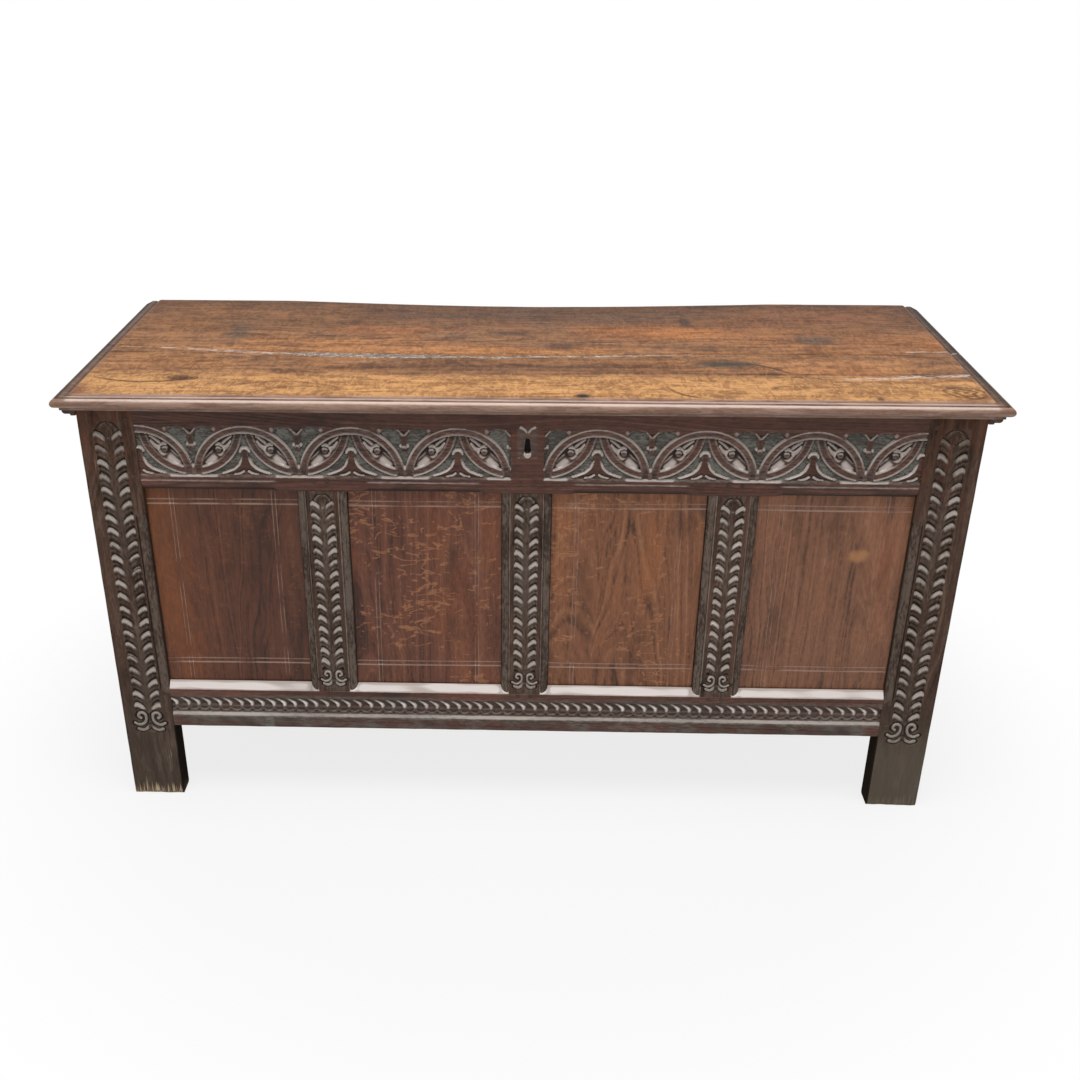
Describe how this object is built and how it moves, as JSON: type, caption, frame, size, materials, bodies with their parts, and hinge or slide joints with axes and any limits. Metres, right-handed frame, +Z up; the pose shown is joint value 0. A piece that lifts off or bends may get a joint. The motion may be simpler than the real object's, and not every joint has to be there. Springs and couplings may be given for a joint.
{
  "type": "coffer chest",
  "caption": "Joined oak coffer: panelled front with carved frame, corner stiles running down as feet, hinged moulded lid, boarded floor and a box lock behind a plain keyhole.",
  "frame": {"origin": "on the floor, midway between the ends of the lid and midway between its front and rear edges", "axes": "+X along the chest to the right as seen from the front, +Y from the front to the back, +Z up"},
  "size_m": [1.3706, 0.522, 0.72],
  "materials": {
    "frame_oak": "old waxed oak, dark greyish brown",
    "panel_oak": "old waxed oak, reddish brown",
    "lid_oak": "polished golden brown oak, figured",
    "floor_oak": "dry unfinished oak",
    "peg_oak": "dark end grain",
    "iron": "blackened wrought iron"
  },
  "bodies": {
    "carcase": {"floor_board_1": "floor_oak", "floor_board_2": "floor_oak", "floor_board_3": "floor_oak", "floor_board_4": "floor_oak", "floor_board_5": "floor_oak", "floor_nails": "iron", "front_bottom_rail": "frame_oak", "front_left_stile": "frame_oak", "front_muntin_1": "frame_oak", "front_muntin_2": "frame_oak", "front_muntin_3": "frame_oak", "front_panel_1": "panel_oak", "front_panel_2": "panel_oak", "front_panel_3": "panel_oak", "front_panel_4": "panel_oak", "front_pegs": "peg_oak", "front_right_stile": "frame_oak", "front_top_rail": "frame_oak", "left_bottom_rail": "frame_oak", "left_muntin": "frame_oak", "left_panel_1": "panel_oak", "left_panel_2": "panel_oak", "left_pegs": "peg_oak", "left_rail_eye": "iron", "left_top_rail": "frame_oak", "lock_case": "iron", "lock_nails": "iron", "lock_plate": "iron", "lock_spring": "iron", "rear_bottom_rail": "frame_oak", "rear_left_stile": "frame_oak", "rear_muntin_1": "frame_oak", "rear_muntin_2": "frame_oak", "rear_panel_1": "panel_oak", "rear_panel_2": "panel_oak", "rear_panel_3": "panel_oak", "rear_pegs": "peg_oak", "rear_right_stile": "frame_oak", "rear_top_rail": "frame_oak", "right_bottom_rail": "frame_oak", "right_muntin": "frame_oak", "right_panel_1": "panel_oak", "right_panel_2": "panel_oak", "right_pegs": "peg_oak", "right_rail_eye": "iron", "right_top_rail": "frame_oak"},
    "lid": {"catch_nails": "iron", "catch_plate": "iron", "catch_staple": "iron", "cleat_nails": "iron", "left_lid_eye": "iron", "lid_front_board": "lid_oak", "lid_left_cleat": "lid_oak", "lid_rear_board": "lid_oak", "lid_right_cleat": "lid_oak", "right_lid_eye": "iron"},
    "bolt": {"lock_bolt": "iron"}
  },
  "joints": [
    {"name": "lid_hinge", "type": "hinge", "parent": "carcase", "child": "lid", "pos_m": [0, 0.2454, 0.688], "axis": [-1, 0, 0], "range_deg": [0, 100]},
    {"name": "lock_bolt_slide", "type": "slide", "parent": "carcase", "child": "bolt", "axis": [1, 0, 0], "range_m": [0, 0.019]}
  ]
}
